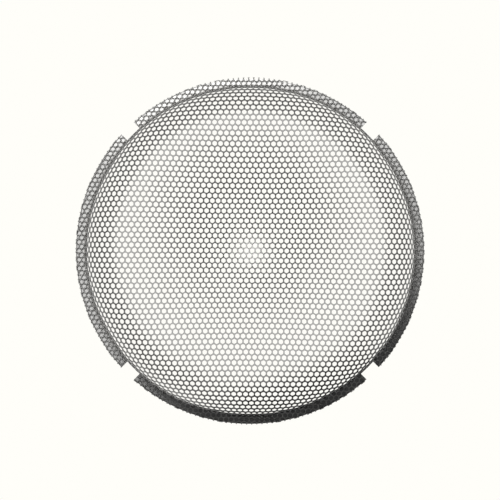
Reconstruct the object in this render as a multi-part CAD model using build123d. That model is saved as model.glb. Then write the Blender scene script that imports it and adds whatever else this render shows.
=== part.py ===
"""Domed burner screen: a perforated steel dome carried on a solid steel mouth ring.

Two pieces, both round about Z. The dome screen is one pressing of hexagon-perforated sheet with
a short flange round its mouth. The mouth ring is a flat ring that lies under that flange and
closes its holes. Four notches on the diagonals cut the flange into four equal tabs, and leave a
narrow web of the ring whole. Z = 0 is the underside of the ring, which is what the part rests on.

The screen is drawn here as plain sheet of the true thickness and outline. The pattern of holes is
a finish of the sheet and is described by the values under "perforation".
"""
import os
from math import cos, radians, sin

from build123d import *

# ---------------------------------------------------------------- driving dimensions (mm)
FLANGE_OUTER_R = 84.6        # outer edge of the four flange tabs
WALL_OUTER_R = 80.3          # outside of the upright wall, just above the flange
SHEET_T = 0.6                # perforated sheet of the dome
RING_T = 0.8                 # plain sheet of the mouth ring

CROWN_R = 210.0              # outer radius of the shallow crown
CROWN_SLOPE = 15.0           # slope of the sheet, in degrees, where the crown ends
BLEND_SLOPE = 21.5           # slope where the crown blend turns into the shoulder
BLEND_END_R = 63.7           # distance from the axis at that point
SHOULDER_SLOPE = 50.0        # slope where the shoulder tightens towards the wall
SHOULDER_END_R = 77.2        # distance from the axis at that point
RIM_SLOPE = 60.0             # slope where the tight corner into the wall starts
RIM_END_R = 79.0             # distance from the axis at that point
WALL_H = 3.5                 # straight upright stretch of the wall
ROOT_BEND_R = 0.4            # hollow side of the bend from the wall to the flange

RING_EDGE_SETBACK = 0.3      # the ring's outer edge lies this far inside the screen's

NOTCH_WIDTH = 8.4            # gap between two flange tabs, with parallel sides
NOTCH_ANGLES = (45.0, 135.0, 225.0, 315.0)
NOTCH_FLOOR_R = 80.5         # the notches stop here, against the foot of the wall

# Perforation of the flat sheet, pressed with it: hexagonal holes in staggered rows.
HOLE_ACROSS_FLATS = 2.0
HOLE_PITCH = 2.5

# ---------------------------------------------------------------- worked-out dimensions
OPEN_FRACTION = (HOLE_ACROSS_FLATS / HOLE_PITCH) ** 2
FLANGE_TOP_Z = RING_T + SHEET_T
WALL_TOP_Z = FLANGE_TOP_Z + ROOT_BEND_R + WALL_H


def step_radius(r_start, r_end, slope_start, slope_end):
    """Outer radius of the arc whose slope goes from one value to another between two distances."""
    return (r_end - r_start) / (sin(radians(slope_end)) - sin(radians(slope_start)))


CROWN_END_R = CROWN_R * sin(radians(CROWN_SLOPE))
DOME_ARCS = (
    (CROWN_R, 0.0, CROWN_SLOPE),
    (step_radius(CROWN_END_R, BLEND_END_R, CROWN_SLOPE, BLEND_SLOPE), CROWN_SLOPE, BLEND_SLOPE),
    (step_radius(BLEND_END_R, SHOULDER_END_R, BLEND_SLOPE, SHOULDER_SLOPE), BLEND_SLOPE, SHOULDER_SLOPE),
    (step_radius(SHOULDER_END_R, RIM_END_R, SHOULDER_SLOPE, RIM_SLOPE), SHOULDER_SLOPE, RIM_SLOPE),
    (step_radius(RIM_END_R, WALL_OUTER_R, RIM_SLOPE, 90.0), RIM_SLOPE, 90.0),
)
DOME_RISE = sum(radius * (cos(radians(low)) - cos(radians(high))) for radius, low, high in DOME_ARCS)
APEX_Z = WALL_TOP_Z + DOME_RISE


def dome_line(inset):
    """The dome's half section from the apex to the wall's top, moved inwards by inset."""
    edges = []
    r, z = 0.0, APEX_Z
    for radius, slope_start, slope_end in DOME_ARCS:
        centre = (r - radius * sin(radians(slope_start)), z - radius * cos(radians(slope_start)))
        edges.append(CenterArc(centre, radius - inset, 90.0 - slope_start, slope_start - slope_end))
        r = centre[0] + radius * sin(radians(slope_end))
        z = centre[1] + radius * cos(radians(slope_end))
    return edges


def root_bend(centre, radius):
    """The quarter bend from the foot of an upright wall out to a flat flange."""
    return CenterArc(centre, radius, 180.0, 90.0)


def revolve_section(edges):
    """Turns closed half-section edges, drawn as (distance from axis, height), into a solid."""
    face = Plane.XZ * make_face(edges)
    return revolve(face, Axis.Z, 360.0)


def make_notches():
    """The four notch cutters: straight-sided slots that start at the foot of the wall."""
    length = FLANGE_OUTER_R - NOTCH_FLOOR_R + 4.0
    slot = Pos(NOTCH_FLOOR_R + length / 2 - 2.0, 0, 0) * Box(length + 4.0, NOTCH_WIDTH, 6 * FLANGE_TOP_Z)
    slots = [Rot(0, 0, angle) * slot for angle in NOTCH_ANGLES]
    return Part() + slots - Cylinder(NOTCH_FLOOR_R, 12 * FLANGE_TOP_Z)


def make_dome_screen():
    """Dome, wall, root bend and flange, pressed from one disc of perforated sheet."""
    bend_centre = (WALL_OUTER_R + ROOT_BEND_R, FLANGE_TOP_Z + ROOT_BEND_R)
    under_bend_r = ROOT_BEND_R + SHEET_T
    wall_inner_r = WALL_OUTER_R - SHEET_T
    edges = [
        *dome_line(0.0),
        Line((WALL_OUTER_R, WALL_TOP_Z), (WALL_OUTER_R, bend_centre[1])),
        root_bend(bend_centre, ROOT_BEND_R),
        Line((bend_centre[0], FLANGE_TOP_Z), (FLANGE_OUTER_R, FLANGE_TOP_Z)),
        Line((FLANGE_OUTER_R, FLANGE_TOP_Z), (FLANGE_OUTER_R, RING_T)),
        Line((FLANGE_OUTER_R, RING_T), (bend_centre[0], RING_T)),
        root_bend(bend_centre, under_bend_r),
        Line((wall_inner_r, bend_centre[1]), (wall_inner_r, WALL_TOP_Z)),
        *dome_line(SHEET_T),
        Line((0.0, APEX_Z), (0.0, APEX_Z - SHEET_T)),
    ]
    return revolve_section(edges) - make_notches()


def make_mouth_ring():
    """Flat ring under the screen's flange, with its bore in line with the inside of the wall."""
    edge_r = FLANGE_OUTER_R - RING_EDGE_SETBACK
    blank = Cylinder(edge_r, RING_T, align=(Align.CENTER, Align.CENTER, Align.MIN))
    bore = Cylinder(WALL_OUTER_R - SHEET_T, 4 * RING_T)
    return blank - bore - make_notches()


PIECES = {
    "dome_screen": make_dome_screen(),
    "mouth_ring": make_mouth_ring(),
}

os.makedirs("parts", exist_ok=True)
for node, piece in PIECES.items():
    export_step(piece, f"parts/{node}.step")

print(f"apex at Z = {APEX_Z:.2f} mm, wall top at Z = {WALL_TOP_Z:.2f} mm")
print(f"open area of the perforated sheet: {OPEN_FRACTION:.0%}")
print("dome arc radii:", ", ".join(f"{radius:.1f}" for radius, _, _ in DOME_ARCS))
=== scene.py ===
"""Domed burner screen: perforated steel dome with a four-tab flange on a solid mouth ring.

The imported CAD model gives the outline, the size and the place of both pieces. This script builds
the perforation that the CAD model leaves out: a flat hexagonal lattice, pressed into the dome's
half section, and trimmed by the same four-notch die as the ring. The screen is made in five zones
to keep each mesh small, and they stand together for the one CAD screen.

The sheet's sizes are in mm, and are turned into metres where a mesh or a node is made. The floor,
the lights and the camera are in metres.
"""

from math import atan2, cos, exp, pi, radians, sin, sqrt, tan

import bpy
import numpy as np
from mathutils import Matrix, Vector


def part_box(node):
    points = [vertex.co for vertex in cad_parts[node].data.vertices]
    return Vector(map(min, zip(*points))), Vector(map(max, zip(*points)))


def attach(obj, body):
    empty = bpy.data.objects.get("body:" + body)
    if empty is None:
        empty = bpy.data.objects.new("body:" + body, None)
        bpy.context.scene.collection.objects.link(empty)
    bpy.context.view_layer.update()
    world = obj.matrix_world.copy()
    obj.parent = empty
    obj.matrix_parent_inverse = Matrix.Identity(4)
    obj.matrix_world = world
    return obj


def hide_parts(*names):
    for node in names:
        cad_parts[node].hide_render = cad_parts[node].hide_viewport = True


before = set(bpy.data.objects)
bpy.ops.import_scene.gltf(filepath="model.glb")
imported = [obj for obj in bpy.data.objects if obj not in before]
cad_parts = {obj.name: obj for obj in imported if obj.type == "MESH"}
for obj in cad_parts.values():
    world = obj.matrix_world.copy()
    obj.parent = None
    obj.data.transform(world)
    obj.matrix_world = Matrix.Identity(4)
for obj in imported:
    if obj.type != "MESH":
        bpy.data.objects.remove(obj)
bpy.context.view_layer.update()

MM = 0.001

# ---------------------------------------------------------------- places taken from the frame (mm)
SCREEN_LOW, SCREEN_HIGH = (np.array(corner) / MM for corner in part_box("dome_screen"))
APEX_Z = SCREEN_HIGH[2]
RING_T = SCREEN_LOW[2]           # the screen's flange lies on the ring

# ---------------------------------------------------------------- sizes shared with the CAD (mm)
FLANGE_OUTER_R = 84.6
WALL_OUTER_R = 80.3
SHEET_T = 0.6
CROWN_R = 210.0
CROWN_SLOPE = 15.0               # slopes are in degrees
BLEND_SLOPE = 21.5
BLEND_END_R = 63.7
SHOULDER_SLOPE = 50.0
SHOULDER_END_R = 77.2
RIM_SLOPE = 60.0
RIM_END_R = 79.0
WALL_H = 3.5
ROOT_BEND_R = 0.4
RING_EDGE_SETBACK = 0.3
RING_EDGE_R = FLANGE_OUTER_R - RING_EDGE_SETBACK
RING_BORE_R = WALL_OUTER_R - SHEET_T
NOTCH_WIDTH = 8.4
NOTCH_ANGLES = (45.0, 135.0, 225.0, 315.0)
NOTCH_FLOOR_R = 80.5
HOLE_ACROSS_FLATS = 2.0
HOLE_PITCH = 2.5

# ---------------------------------------------------------------- small irregularities (mm)
OVAL_BOTH_WAYS = 0.46            # the cut edge reaches this much further out along X
OVAL_TO_RIGHT = -0.12            # and this much more towards +X than towards -X
RUN_IN_TURN = radians(90.0)      # where the ring's edge runs in, because the trimming was uneven
RUN_IN_HALF_WIDTH = radians(14.0)
RUN_IN_DEPTH = 0.8
DRAW_IN = (0.35, -0.35)          # the flange's rows have crept sideways past the dome's
DRAW_IN_REACH = (29.5, 32.0)     # pitches from the centre over which they do so

# ---------------------------------------------------------------- the perforated blank (mm)
HOLE_CORNER_R = 0.60             # the punch's corners are rounded
HOLE_LIP = 0.07                  # chamfer left round each hole by the punch and the tumbling
LATTICE_TURN = radians(-0.34)    # the rows of holes against the X axis
LATTICE_SHIFT = (0.347, 0.047)   # nearest hole's centre from the axis, in pitches
LATTICE_SPAN = 60                # axial indices that are sure to cover the blank
GRID_PER_MM = 1e4                # points on the same step of this grid are one point
# How far pressing stretches the sheet outwards, at distances from the blank's centre in pitches.
STRETCH = ((0, 1.10), (7, 1.08), (21, 1.272), (26.8, 1.285), (28.8, 1.12), (32, 0.96), (36, 1.0))
ZONES = {                        # cells by the distance of their centre from the axis, in pitches
    "screen_crown": (0.0, 16.5),
    "screen_blend": (16.5, 23.3),
    "screen_shoulder": (23.3, 28.6),
    "screen_wall": (28.6, 31.2),
    "screen_flange": (31.2, 36.0),
}

# ---------------------------------------------------------------- how finely things are drawn
SECTION_STEPS = 240              # along each part of the half section
STRETCH_STEPS = 721              # along the blank's radius
TAB_STEPS = 120                  # along the edge of each flange tab
NOTCH_STEPS = 9                  # along the floor of each notch
RING_STEPS = 360                 # round the mouth ring
LIP_STEPS = 5                    # round each of the ring's cut edges
SHARP_ANGLE = radians(34.0)      # trimmed edges that turn more than this are sharp


def step_radius(r_start, r_end, slope_start, slope_end):
    """Outer radius of the arc whose slope goes from one value to another between two distances."""
    return (r_end - r_start) / (sin(radians(slope_end)) - sin(radians(slope_start)))


class Section:
    """The sheet's half section as a path along its middle surface, from the apex to the edge."""

    def __init__(self):
        corners = (
            (CROWN_R * sin(radians(CROWN_SLOPE)), CROWN_SLOPE),
            (BLEND_END_R, BLEND_SLOPE),
            (SHOULDER_END_R, SHOULDER_SLOPE),
            (RIM_END_R, RIM_SLOPE),
            (WALL_OUTER_R, 90.0),
        )
        arcs = [(CROWN_R, 0.0, CROWN_SLOPE)]
        for (r_start, slope_start), (r_end, slope_end) in zip(corners, corners[1:]):
            radius = step_radius(r_start, r_end, slope_start, slope_end)
            arcs.append((radius, slope_start, slope_end))
        part = np.linspace(0.0, 1.0, SECTION_STEPS)
        lengths, slopes = [], []
        for outer_radius, slope_start, slope_end in arcs:
            slope = np.radians(slope_start + (slope_end - slope_start) * part)
            lengths.append((outer_radius - SHEET_T / 2) * (slope - slope[0]))
            slopes.append(slope)
        lengths.append(WALL_H * part)
        slopes.append(np.full_like(part, pi / 2))
        lengths.append((ROOT_BEND_R + SHEET_T / 2) * part * pi / 2)
        slopes.append(pi / 2 * (1 - part))
        flange_run = 8.0         # well past the trimmed edge
        lengths.append(flange_run * part)
        slopes.append(np.zeros_like(part))
        starts = np.cumsum([0.0] + [length[-1] for length in lengths])
        self.s = np.concatenate([start + length for start, length in zip(starts, lengths)])
        self.slope = np.concatenate(slopes)
        step = np.diff(self.s)
        middle = (self.slope[1:] + self.slope[:-1]) / 2
        self.r = np.concatenate([[0.0], np.cumsum(step * np.cos(middle))])
        fall = np.concatenate([[0.0], np.cumsum(step * np.sin(middle))])
        self.z = APEX_Z - SHEET_T / 2 - fall

    def at(self, s):
        """Distance from the axis, height and slope at lengths s along the middle surface."""
        return (np.interp(s, self.s, self.r), np.interp(s, self.s, self.z),
                np.interp(s, self.s, self.slope))


SECTION = Section()


def pressed_length(rho):
    """Length along the pressed section at distance rho from the flat blank's centre."""
    at = np.linspace(0.0, STRETCH[-1][0], STRETCH_STEPS)
    stretch = np.interp(at, *zip(*STRETCH))
    grown = np.concatenate([[0.0], np.cumsum((stretch[1:] + stretch[:-1]) / 2 * np.diff(at))])
    return np.interp(rho / HOLE_PITCH, at, grown) * HOLE_PITCH


def press(flat, depth):
    """Carries points of the flat blank, at a depth under its upper face, to the pressed dome."""
    start, end = DRAW_IN_REACH
    pitches = np.hypot(flat[:, 0], flat[:, 1]) / HOLE_PITCH
    crept = np.clip((pitches - start) / (end - start), 0.0, 1.0)
    flat = flat + crept[:, None] * DRAW_IN
    r, z, slope = SECTION.at(pressed_length(np.hypot(flat[:, 0], flat[:, 1])))
    above = SHEET_T / 2 - depth
    r = r + above * np.sin(slope)
    z = z + above * np.cos(slope)
    turn = np.arctan2(flat[:, 1], flat[:, 0])
    return np.column_stack([r * np.cos(turn), r * np.sin(turn), z])


# ---------------------------------------------------------------- one cell of the lattice
def offset_point(degrees, out, along):
    """The point at distance out in a direction, moved sideways by along."""
    turn = radians(degrees)
    return (out * cos(turn) - along * sin(turn), out * sin(turn) + along * cos(turn))


def loop_points(apothem, half_side, corner):
    """Three points at each corner of a hexagon whose flats face 0, 60, 120 ... degrees."""
    points = []
    for degrees in range(0, 360, 60):
        points += [offset_point(degrees, apothem, half_side),
                   offset_point(degrees + 30, corner, 0.0),
                   offset_point(degrees + 60, apothem, -half_side)]
    return np.array(points)


def hole_loop(grow):
    """The hole's outline, grown by a chamfer."""
    apothem = HOLE_ACROSS_FLATS / 2 + grow
    radius = HOLE_CORNER_R + grow
    corner = (apothem - radius) / cos(pi / 6) + radius
    return loop_points(apothem, (apothem - radius) * tan(pi / 6), corner)


def border_loop():
    """The line half way to the six neighbouring holes."""
    apothem = HOLE_PITCH / 2
    hole_half_side = (HOLE_ACROSS_FLATS / 2 - HOLE_CORNER_R) * tan(pi / 6)
    half_side = hole_half_side * HOLE_PITCH / HOLE_ACROSS_FLATS
    return loop_points(apothem, half_side, apothem / cos(pi / 6))


LOOPS = (                        # outline and depth of each loop, from the upper face to the lower
    (border_loop(), 0.0),
    (hole_loop(HOLE_LIP), 0.0),
    (hole_loop(0.0), HOLE_LIP),
    (hole_loop(0.0), SHEET_T - HOLE_LIP),
    (hole_loop(HOLE_LIP), SHEET_T),
    (border_loop(), SHEET_T),
)
LOOP_POINTS = 18
NEIGHBOURS = ((1, 0), (0, 1), (-1, 1), (-1, 0), (0, -1), (1, -1))


def turned(points, angle):
    """Plan points turned about the axis."""
    c, s = cos(angle), sin(angle)
    return points @ np.array([[c, s], [-s, c]])


def lattice(reach):
    """Axial indices and flat centres of the cells within reach pitches of the axis."""
    axial = np.arange(-LATTICE_SPAN, LATTICE_SPAN + 1)
    i, j = np.meshgrid(axial, axial)
    index = np.column_stack([i.ravel(), j.ravel()])
    flat = np.column_stack([index[:, 0] + index[:, 1] / 2, index[:, 1] * sqrt(3) / 2])
    flat = (turned(flat, LATTICE_TURN) + LATTICE_SHIFT) * HOLE_PITCH
    near = np.hypot(flat[:, 0], flat[:, 1]) < reach * HOLE_PITCH
    return index[near], flat[near]


def rim_faces(index, number):
    """Faces that close the sheet between its two sides, where a cell has no neighbour."""
    present = {tuple(cell) for cell in index}
    rim = []
    for n, cell in enumerate(index):
        for side, (di, dj) in enumerate(NEIGHBOURS):
            if (cell[0] + di, cell[1] + dj) in present:
                continue
            for start in ((3 * side - 2) % LOOP_POINTS, (3 * side - 1) % LOOP_POINTS, 3 * side):
                after = (start + 1) % LOOP_POINTS
                rim.append((number[n, 0, start], number[n, 0, after],
                            number[n, -1, after], number[n, -1, start]))
    return np.array(rim)


def cell_mesh(name, index, centres):
    """One closed mesh of perforated sheet, pressed to shape, from a set of lattice cells."""
    cells = len(index)
    flat = np.stack([centres[:, None, :] + turned(outline, LATTICE_TURN)[None, :, :]
                     for outline, _ in LOOPS], axis=1).reshape(-1, 2)
    depth = np.tile(np.repeat([at_depth for _, at_depth in LOOPS], LOOP_POINTS), cells)
    level = np.tile(np.repeat(np.arange(len(LOOPS)), LOOP_POINTS), cells)

    number = np.arange(cells * len(LOOPS) * LOOP_POINTS).reshape(cells, len(LOOPS), LOOP_POINTS)
    following = np.roll(number, -1, axis=2)
    quads = np.stack([
        np.stack([number[:, k], number[:, k + 1], following[:, k + 1], following[:, k]], axis=-1)
        for k in range(len(LOOPS) - 1)
    ], axis=1).reshape(-1, 4)
    rim = rim_faces(index, number)
    faces = np.concatenate([quads, rim])

    key = np.column_stack([np.round(flat * GRID_PER_MM).astype(np.int64), level])
    _, first, merged = np.unique(key, axis=0, return_index=True, return_inverse=True)
    merged = merged.ravel()
    verts = press(flat[first], depth[first]) * MM
    mesh = bpy.data.meshes.new(name)
    mesh.from_pydata(verts.tolist(), [], merged[faces].tolist())
    mesh.update()
    mark_sharp(mesh, level[first], merged[rim])
    return mesh


def mark_sharp(mesh, level, rim):
    """Sharp edges along each hole's chamfer and round the cut rim; everything else is smooth."""
    ends = np.empty(len(mesh.edges) * 2, dtype=np.int32)
    mesh.edges.foreach_get("vertices", ends)
    ends = ends.reshape(-1, 2)
    first, second = level[ends[:, 0]], level[ends[:, 1]]
    chamfer = (first == second) & (first > 0) & (first < len(LOOPS) - 1)
    rim_edges = {frozenset(edge) for edge in rim[:, :2].tolist() + rim[:, 2:].tolist()}
    cut = np.array([frozenset(edge) in rim_edges for edge in ends.tolist()])
    mesh.shade_smooth()
    attribute = mesh.attributes.new("sharp_edge", "BOOLEAN", "EDGE")
    attribute.data.foreach_set("value", chamfer | cut)


# ---------------------------------------------------------------- revolved and trimmed pieces
def add_object(name, mesh):
    """A new object in the scene."""
    piece = bpy.data.objects.new(name, mesh)
    bpy.context.scene.collection.objects.link(piece)
    return piece


def revolved_mesh(name, section, steps):
    """A closed section of (distance, height) points, turned once round Z."""
    section = np.array(section)
    angles = np.arange(steps) * 2 * pi / steps
    verts = np.stack([
        np.outer(np.cos(angles), section[:, 0]),
        np.outer(np.sin(angles), section[:, 0]),
        np.broadcast_to(section[:, 1], (steps, len(section))),
    ], axis=-1).reshape(-1, 3) * MM
    number = np.arange(steps * len(section)).reshape(steps, len(section))
    further = np.roll(number, -1, axis=0)
    faces = np.stack([number, further, np.roll(further, -1, axis=1), np.roll(number, -1, axis=1)],
                     axis=-1).reshape(-1, 4)
    mesh = bpy.data.meshes.new(name)
    mesh.from_pydata(verts.tolist(), [], faces.tolist())
    mesh.update()
    return mesh


def edge_reach(turn):
    """How far the trimmed edge reaches past its nominal radius: the blank is slightly oval."""
    return OVAL_BOTH_WAYS * cos(turn) ** 2 + OVAL_TO_RIGHT * cos(turn)


def die_outline():
    """Plan outline of the trimmed blank: a circle with a straight-sided notch on each diagonal."""
    half = NOTCH_WIDTH / 2
    outer_half = atan2(half, sqrt(FLANGE_OUTER_R ** 2 - half ** 2))
    floor_half = atan2(half, sqrt(NOTCH_FLOOR_R ** 2 - half ** 2))
    points = []
    for before, notch in zip((NOTCH_ANGLES[-1] - 360.0,) + NOTCH_ANGLES[:-1], NOTCH_ANGLES):
        before, notch = radians(before), radians(notch)
        for turn in np.linspace(before + outer_half, notch - outer_half, TAB_STEPS):
            radius = FLANGE_OUTER_R + edge_reach(turn)
            points.append((radius * cos(turn), radius * sin(turn)))
        for turn in np.linspace(notch - floor_half, notch + floor_half, NOTCH_STEPS):
            points.append((NOTCH_FLOOR_R * cos(turn), NOTCH_FLOOR_R * sin(turn)))
    return points


def trim_with_die(piece):
    """Cuts a piece to the die's outline."""
    outline = die_outline()
    count = len(outline)
    below, above = -4.0, 12.0    # clear of the ring and the flange
    verts = [(x * MM, y * MM, z * MM) for z in (below, above) for x, y in outline]
    faces = [(k, (k + 1) % count, count + (k + 1) % count, count + k) for k in range(count)]
    faces += [tuple(reversed(range(count))), tuple(range(count, 2 * count))]
    mesh = bpy.data.meshes.new("die")
    mesh.from_pydata(verts, [], faces)
    die = add_object("die", mesh)
    cut = piece.modifiers.new("trim", "BOOLEAN")
    cut.operation = "INTERSECT"
    cut.solver = "MANIFOLD"
    cut.object = die
    bpy.context.view_layer.update()
    graph = bpy.context.evaluated_depsgraph_get()
    trimmed = bpy.data.meshes.new_from_object(piece.evaluated_get(graph))
    piece.modifiers.clear()
    old = piece.data
    piece.data = trimmed
    trimmed.name = old.name
    bpy.data.meshes.remove(old)
    bpy.data.objects.remove(die)
    bpy.data.meshes.remove(mesh)


def quarter(centre, radius, start):
    """Points of a quarter circle that runs counter-clockwise in the half section."""
    turn = np.radians(start + np.linspace(0.0, 90.0, LIP_STEPS))
    return [(centre[0] + radius * cos(a), centre[1] + radius * sin(a)) for a in turn]


def ring_section():
    """Flat section of the mouth ring, with its cut edges slightly rounded."""
    lip = 0.12
    gap = 0.015                  # keeps the ring's face clear of the flange's
    inner, outer = RING_BORE_R + lip, RING_EDGE_R - lip
    low, high = lip, RING_T - gap - lip
    return (quarter((inner, high), lip, 90.0) + quarter((inner, low), lip, 180.0)
            + quarter((outer, low), lip, 270.0) + quarter((outer, high), lip, 0.0))


def shape_edge(mesh):
    """Makes the ring's outer edge oval, and draws it in where the cut struts stand free."""
    middle_r = (RING_BORE_R + RING_EDGE_R) / 2
    for vertex in mesh.vertices:
        r = vertex.co.xy.length / MM
        if r > middle_r:
            turn = atan2(vertex.co.y, vertex.co.x)
            off = (turn - RUN_IN_TURN) / RUN_IN_HALF_WIDTH
            vertex.co.xy *= 1.0 + (edge_reach(turn) - RUN_IN_DEPTH * exp(-off * off)) / r


# ---------------------------------------------------------------- nodes
def empty_material(name):
    """A material with nothing but its output: the material, its tree and its surface socket."""
    material = bpy.data.materials.new(name)
    material.use_nodes = True
    tree = material.node_tree
    tree.nodes.clear()
    return material, tree, tree.nodes.new("ShaderNodeOutputMaterial").inputs["Surface"]


def shaded_material(name):
    """A material with one Principled shader, and the coordinates of the piece in metres."""
    material, tree, surface = empty_material(name)
    shader = tree.nodes.new("ShaderNodeBsdfPrincipled")
    tree.links.new(shader.outputs["BSDF"], surface)
    return material, tree, shader, tree.nodes.new("ShaderNodeTexCoord").outputs["Object"]


def glowing_material(name, colour):
    """A material that shows one even colour, whatever the light."""
    material, tree, surface = empty_material(name)
    glow = tree.nodes.new("ShaderNodeEmission")
    glow.inputs["Color"].default_value = (*colour, 1.0)
    glow.inputs["Strength"].default_value = 1.0
    tree.links.new(glow.outputs["Emission"], surface)
    return material


def noise(tree, coordinates, scale, detail):
    """Even noise, with scale in waves per metre."""
    node = tree.nodes.new("ShaderNodeTexNoise")
    node.inputs["Scale"].default_value = scale
    node.inputs["Detail"].default_value = detail
    node.inputs["Roughness"].default_value = 0.5
    tree.links.new(coordinates, node.inputs["Vector"])
    return node.outputs["Fac"]


def scaled(tree, coordinates, scale):
    """Coordinates scaled along each axis."""
    node = tree.nodes.new("ShaderNodeMapping")
    node.inputs["Scale"].default_value = scale
    tree.links.new(coordinates, node.inputs["Vector"])
    return node.outputs["Vector"]


def ramp(tree, factor, stops):
    """A colour from a list of (place, colour)."""
    node = tree.nodes.new("ShaderNodeValToRGB")
    elements = node.color_ramp.elements
    while len(elements) < len(stops):
        elements.new(0.5)
    for element, (place, colour) in zip(elements, stops):
        element.position = place
        element.color = (*colour, 1.0)
    tree.links.new(factor, node.inputs["Fac"])
    return node.outputs["Color"]


def spread(tree, value, low, high, to_low=0.0, to_high=1.0):
    """Carries the range low to high to another range, and holds the value past its ends."""
    node = tree.nodes.new("ShaderNodeMapRange")
    for socket, number in (("From Min", low), ("From Max", high),
                           ("To Min", to_low), ("To Max", to_high)):
        node.inputs[socket].default_value = number
    tree.links.new(value, node.inputs["Value"])
    return node.outputs["Result"]


def combine(tree, operation, *values):
    """A Math node; its inputs are sockets or numbers."""
    node = tree.nodes.new("ShaderNodeMath")
    node.operation = operation
    for socket, value in zip(node.inputs, values):
        if isinstance(value, (int, float)):
            socket.default_value = value
        else:
            tree.links.new(value, socket)
    return node.outputs[0]


def vector_math(tree, operation, vector):
    """A Vector Math node with its first input linked."""
    node = tree.nodes.new("ShaderNodeVectorMath")
    node.operation = operation
    tree.links.new(vector, node.inputs[0])
    return node


def dot(tree, vector, direction):
    """How far a vector reaches in a fixed direction."""
    node = vector_math(tree, "DOT_PRODUCT", vector)
    node.inputs[1].default_value = direction
    return node.outputs["Value"]


def tinted(tree, colour, factor):
    """A colour scaled by a factor."""
    node = vector_math(tree, "SCALE", colour)
    tree.links.new(factor, node.inputs["Scale"])
    return node.outputs["Vector"]


def rough_skin(tree, shader, height, strength):
    """Fine unevenness of the surface."""
    bump = tree.nodes.new("ShaderNodeBump")
    bump.inputs["Strength"].default_value = strength
    bump.inputs["Distance"].default_value = 0.02 * MM
    tree.links.new(height, bump.inputs["Height"])
    tree.links.new(bump.outputs["Normal"], shader.inputs["Normal"])


# ---------------------------------------------------------------- materials
SHADED_SIDE = radians(288.0)        # direction of the side that painted shade darkens most
# Factor on each sheet's brightness at mm from the axis towards the shaded side: painted shade
# darkens that side, and painted light makes the far side the brightest.
DOME_SIDE_SHADE = (
    (-84, 0.95), (-70, 1.0), (57, 1.0), (63, 0.66), (69, 0.28), (76, 0.16), (84, 0.14))
FLANGE_SIDE_SHADE = (
    (-84, 1.3), (-75, 1.2), (-59, 1.05), (-26, 1.0), (26, 0.98), (38, 0.68), (55, 0.42), (84, 0.30))
RING_SIDE_SHADE = (
    (-84, 0.90), (-76, 0.82), (-62, 0.58), (-26, 0.53), (22, 0.54), (38, 0.44), (55, 0.22),
    (66, 0.11), (84, 0.07))

MILL_BAND = (0.35, 0.65)         # the part of the noise's range that the mill finish uses
MILL_DARK = (0.46, 0.455, 0.44)
MILL_LIGHT = (0.56, 0.555, 0.54)
CLOUD_SCALE = 60.0
ROLLING_SCALE = (30.0, 900.0, 900.0)     # long fine lines along X

# painted shade under the screen's root bend, from dark at the bore to the ring's own colour
RING_BORE_SHADE_RAMP = ((0.0, (0.17, 0.16, 0.15)), (0.5, (0.30, 0.29, 0.275)), (1.0, (0.66, 0.655, 0.64)))
RING_BORE_SHADE_BAND = (80.6, 81.4)    # the ring goes from painted shade at its bore to its own colour over this
RING_BORE_SHADE_WANDER = 0.5           # how unevenly it does so
RING_EDGE_SHADE_BAND = (83.65, 83.95)        # and painted shade darkens it towards its cut edge over this
RING_EDGE_SHADE_LEVEL = 0.22
RING_ROUGHNESS = 0.62
RING_CLOUD_SCALE = 140.0
RING_GRAIN_SCALE = 2500.0


def painted_side_shade(tree, place, stops):
    """Painted shade and light: grey level from a list of (mm towards the shaded side, level)."""
    towards = dot(tree, place, (cos(SHADED_SIDE), sin(SHADED_SIDE), 0.0))
    part = spread(tree, towards, -FLANGE_OUTER_R * MM, FLANGE_OUTER_R * MM)
    return ramp(tree, part, [((mm + FLANGE_OUTER_R) / (2 * FLANGE_OUTER_R), (level,) * 3)
                             for mm, level in stops])


def mill_steel(name, roughness, tint, metallic):
    """Satin stainless sheet: cloudy mill finish, fine rolling lines, and painted shade and light to
    one side.
    """
    material, tree, shader, place = shaded_material(name)
    cloud = noise(tree, place, CLOUD_SCALE, 3.0)
    rolled = noise(tree, scaled(tree, place, ROLLING_SCALE), 1.0, 2.0)
    finish = combine(tree, "MULTIPLY_ADD", cloud, 0.5, combine(tree, "MULTIPLY", rolled, 0.5))
    bare = ramp(tree, finish, tuple(zip(MILL_BAND, (MILL_DARK, MILL_LIGHT))))
    # painted shade and light to one side scale the bare colour
    tree.links.new(tinted(tree, bare, painted_side_shade(tree, place, tint)), shader.inputs["Base Color"])
    tree.links.new(spread(tree, finish, *MILL_BAND, *roughness), shader.inputs["Roughness"])
    rough_skin(tree, shader, rolled, 0.3)
    shader.inputs["Metallic"].default_value = metallic
    return material


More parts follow.
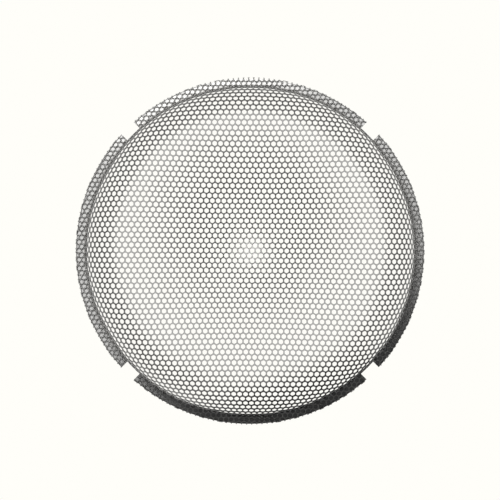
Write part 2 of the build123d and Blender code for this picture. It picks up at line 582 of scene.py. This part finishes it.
def ring_sheet(name, tint):
    """Pale matt sheet with painted shade at its bore, its cut edge and one side, painted light on
    the other.
    """
    material, tree, shader, place = shaded_material(name)
    radius = vector_math(tree, "LENGTH", scaled(tree, place, (1.0, 1.0, 0.0))).outputs["Value"]
    cloud = noise(tree, place, RING_CLOUD_SCALE, 3.0)
    uneven = combine(tree, "MULTIPLY_ADD", cloud, RING_BORE_SHADE_WANDER * MM, radius)
    # painted shade along the bore, with an uneven inner edge
    band = spread(tree, uneven, *(r * MM for r in RING_BORE_SHADE_BAND))

    # The painted shade at the edge follows the oval edge, so the edge's reach comes off the radius
    # first.
    apart = tree.nodes.new("ShaderNodeSeparateXYZ")
    tree.links.new(place, apart.inputs["Vector"])
    cosine = combine(tree, "DIVIDE", apart.outputs["X"], radius)
    squared = combine(tree, "MULTIPLY", cosine, cosine)
    both_ways = combine(tree, "MULTIPLY", squared, OVAL_BOTH_WAYS * MM)
    reach = combine(tree, "MULTIPLY_ADD", cosine, OVAL_TO_RIGHT * MM, both_ways)
    nominal = combine(tree, "SUBTRACT", radius, reach)
    border = spread(tree, nominal, *(r * MM for r in RING_EDGE_SHADE_BAND), 1.0, RING_EDGE_SHADE_LEVEL)

    # painted shade and light to one side, times the painted shade at the cut edge
    level = combine(tree, "MULTIPLY", painted_side_shade(tree, place, tint), border)
    colour = tinted(tree, ramp(tree, band, RING_BORE_SHADE_RAMP), level)
    tree.links.new(colour, shader.inputs["Base Color"])
    rough_skin(tree, shader, noise(tree, place, RING_GRAIN_SCALE, 2.0), 0.25)
    shader.inputs["Roughness"].default_value = RING_ROUGHNESS
    return material


SCREEN_STEEL = mill_steel("perforated_steel", (0.18, 0.26), DOME_SIDE_SHADE, metallic=1.0)
FLANGE_STEEL = mill_steel("flange_steel", (0.26, 0.34), FLANGE_SIDE_SHADE, metallic=0.94)
RING_STEEL = ring_sheet("ring_steel", RING_SIDE_SHADE)

# ---------------------------------------------------------------- build the pieces
index, centres = lattice(ZONES["screen_flange"][1])
distance = np.hypot(centres[:, 0], centres[:, 1]) / HOLE_PITCH
for zone, (inner, outer) in ZONES.items():
    inside = (distance >= inner) & (distance < outer)
    piece = add_object(zone, cell_mesh(zone, index[inside], centres[inside]))
    if zone == "screen_flange":
        trim_with_die(piece)
        piece.data.set_sharp_from_angle(angle=SHARP_ANGLE)
    piece.data.materials.clear()
    piece.data.materials.append(FLANGE_STEEL if zone == "screen_flange" else SCREEN_STEEL)
    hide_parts("dome_screen")
    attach(piece, "root")

ring = add_object("mouth_ring_steel", revolved_mesh("mouth_ring_steel", ring_section(), RING_STEPS))
shape_edge(ring.data)
trim_with_die(ring)
ring.data.materials.clear()
ring.data.materials.append(RING_STEEL)
ring.data.shade_smooth()
ring.data.set_sharp_from_angle(angle=SHARP_ANGLE)
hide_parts("mouth_ring")
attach(ring, "root")

# ---------------------------------------------------------------- floor (m)
PAPER = (1.0, 0.991, 0.947)      # the warm white of the table
FLOOR_HALF = 4.0
FLOOR_Z = -0.0002                # just under the ring

corners = ((-1, -1), (1, -1), (1, 1), (-1, 1))
floor_mesh = bpy.data.meshes.new("floor")
floor_mesh.from_pydata([(x * FLOOR_HALF, y * FLOOR_HALF, FLOOR_Z) for x, y in corners],
                       [], [(0, 1, 2, 3)])
floor_mesh.materials.append(glowing_material("light_table", PAPER))
floor = add_object("floor", floor_mesh)
floor.visible_glossy = False
floor.visible_diffuse = False


# ---------------------------------------------------------------- light (m)
def tilted(off_axis, turn):
    """The direction off_axis radians from straight up, towards turn."""
    return (sin(off_axis) * cos(turn), sin(off_axis) * sin(turn), cos(off_axis))


# The light tent round the dome: brightness at degrees from the tent's own top, which is dim, with
# a bright band all round it, and dim down to the table.
TENT_TOP = tilted(radians(8.0), radians(95.0))
TENT = (
    (0, 0.14), (20, 0.15), (28, 0.80), (38, 1.0), (46, 0.92), (54, 0.26), (70, 0.16), (95, 0.18),
    (115, 0.60), (180, 0.60))

world = bpy.data.worlds.new("studio")
bpy.context.scene.world = world
world.use_nodes = True
sky = world.node_tree
direction = sky.nodes.new("ShaderNodeTexCoord").outputs["Generated"]
half_turns = combine(sky, "DIVIDE", combine(sky, "ARCCOSINE", dot(sky, direction, TENT_TOP)), pi)
tent = sky.nodes["Background"]
sky.links.new(ramp(sky, half_turns, [(degrees / 180.0, (level,) * 3) for degrees, level in TENT]),
              tent.inputs["Color"])
paper = sky.nodes.new("ShaderNodeBackground")
paper.inputs["Color"].default_value = (*PAPER, 1.0)
seen = sky.nodes.new("ShaderNodeMixShader")
sky.links.new(sky.nodes.new("ShaderNodeLightPath").outputs["Is Camera Ray"], seen.inputs["Fac"])
sky.links.new(tent.outputs["Background"], seen.inputs[1])
sky.links.new(paper.outputs["Background"], seen.inputs[2])
sky.links.new(seen.outputs["Shader"], sky.nodes["World Output"].inputs["Surface"])


def soft_light(name, width, energy, off_axis, turn, distance):
    """A round soft box aimed at the dome, off_axis degrees from straight above it."""
    light = bpy.data.lights.new(name, "AREA")
    light.shape = "DISK"
    light.size = width
    light.energy = energy
    lamp = bpy.data.objects.new(name, light)
    off_axis, turn = radians(off_axis), radians(turn)
    lamp.location = [distance * part for part in tilted(off_axis, turn)]
    lamp.rotation_euler = (0.0, off_axis, turn)
    bpy.context.scene.collection.objects.link(lamp)
    return lamp


soft_light("camera_light", width=0.10, energy=0.17, off_axis=0.0, turn=0.0, distance=1.3)
key = soft_light("key_light", width=0.6, energy=16.0, off_axis=42.0, turn=115.0, distance=0.9)
key.visible_glossy = False

# ---------------------------------------------------------------- camera (m)
CAMERA_PLACE = (-0.00013, 0.00045, 1.2)
VIEW_WIDTH = 0.2436              # what the frame takes in at the flange
SENSOR_WIDTH = 36.0              # mm, as the lens is
FLANGE_Z = (RING_T + SHEET_T) * MM

camera = bpy.data.cameras.new("camera")
camera.sensor_width = SENSOR_WIDTH
camera.lens = SENSOR_WIDTH * (CAMERA_PLACE[2] - FLANGE_Z) / VIEW_WIDTH
camera.clip_end = 20.0
viewer = bpy.data.objects.new("camera", camera)
viewer.location = CAMERA_PLACE
bpy.context.scene.collection.objects.link(viewer)
bpy.context.scene.camera = viewer
bpy.context.scene.view_settings.view_transform = "Standard"
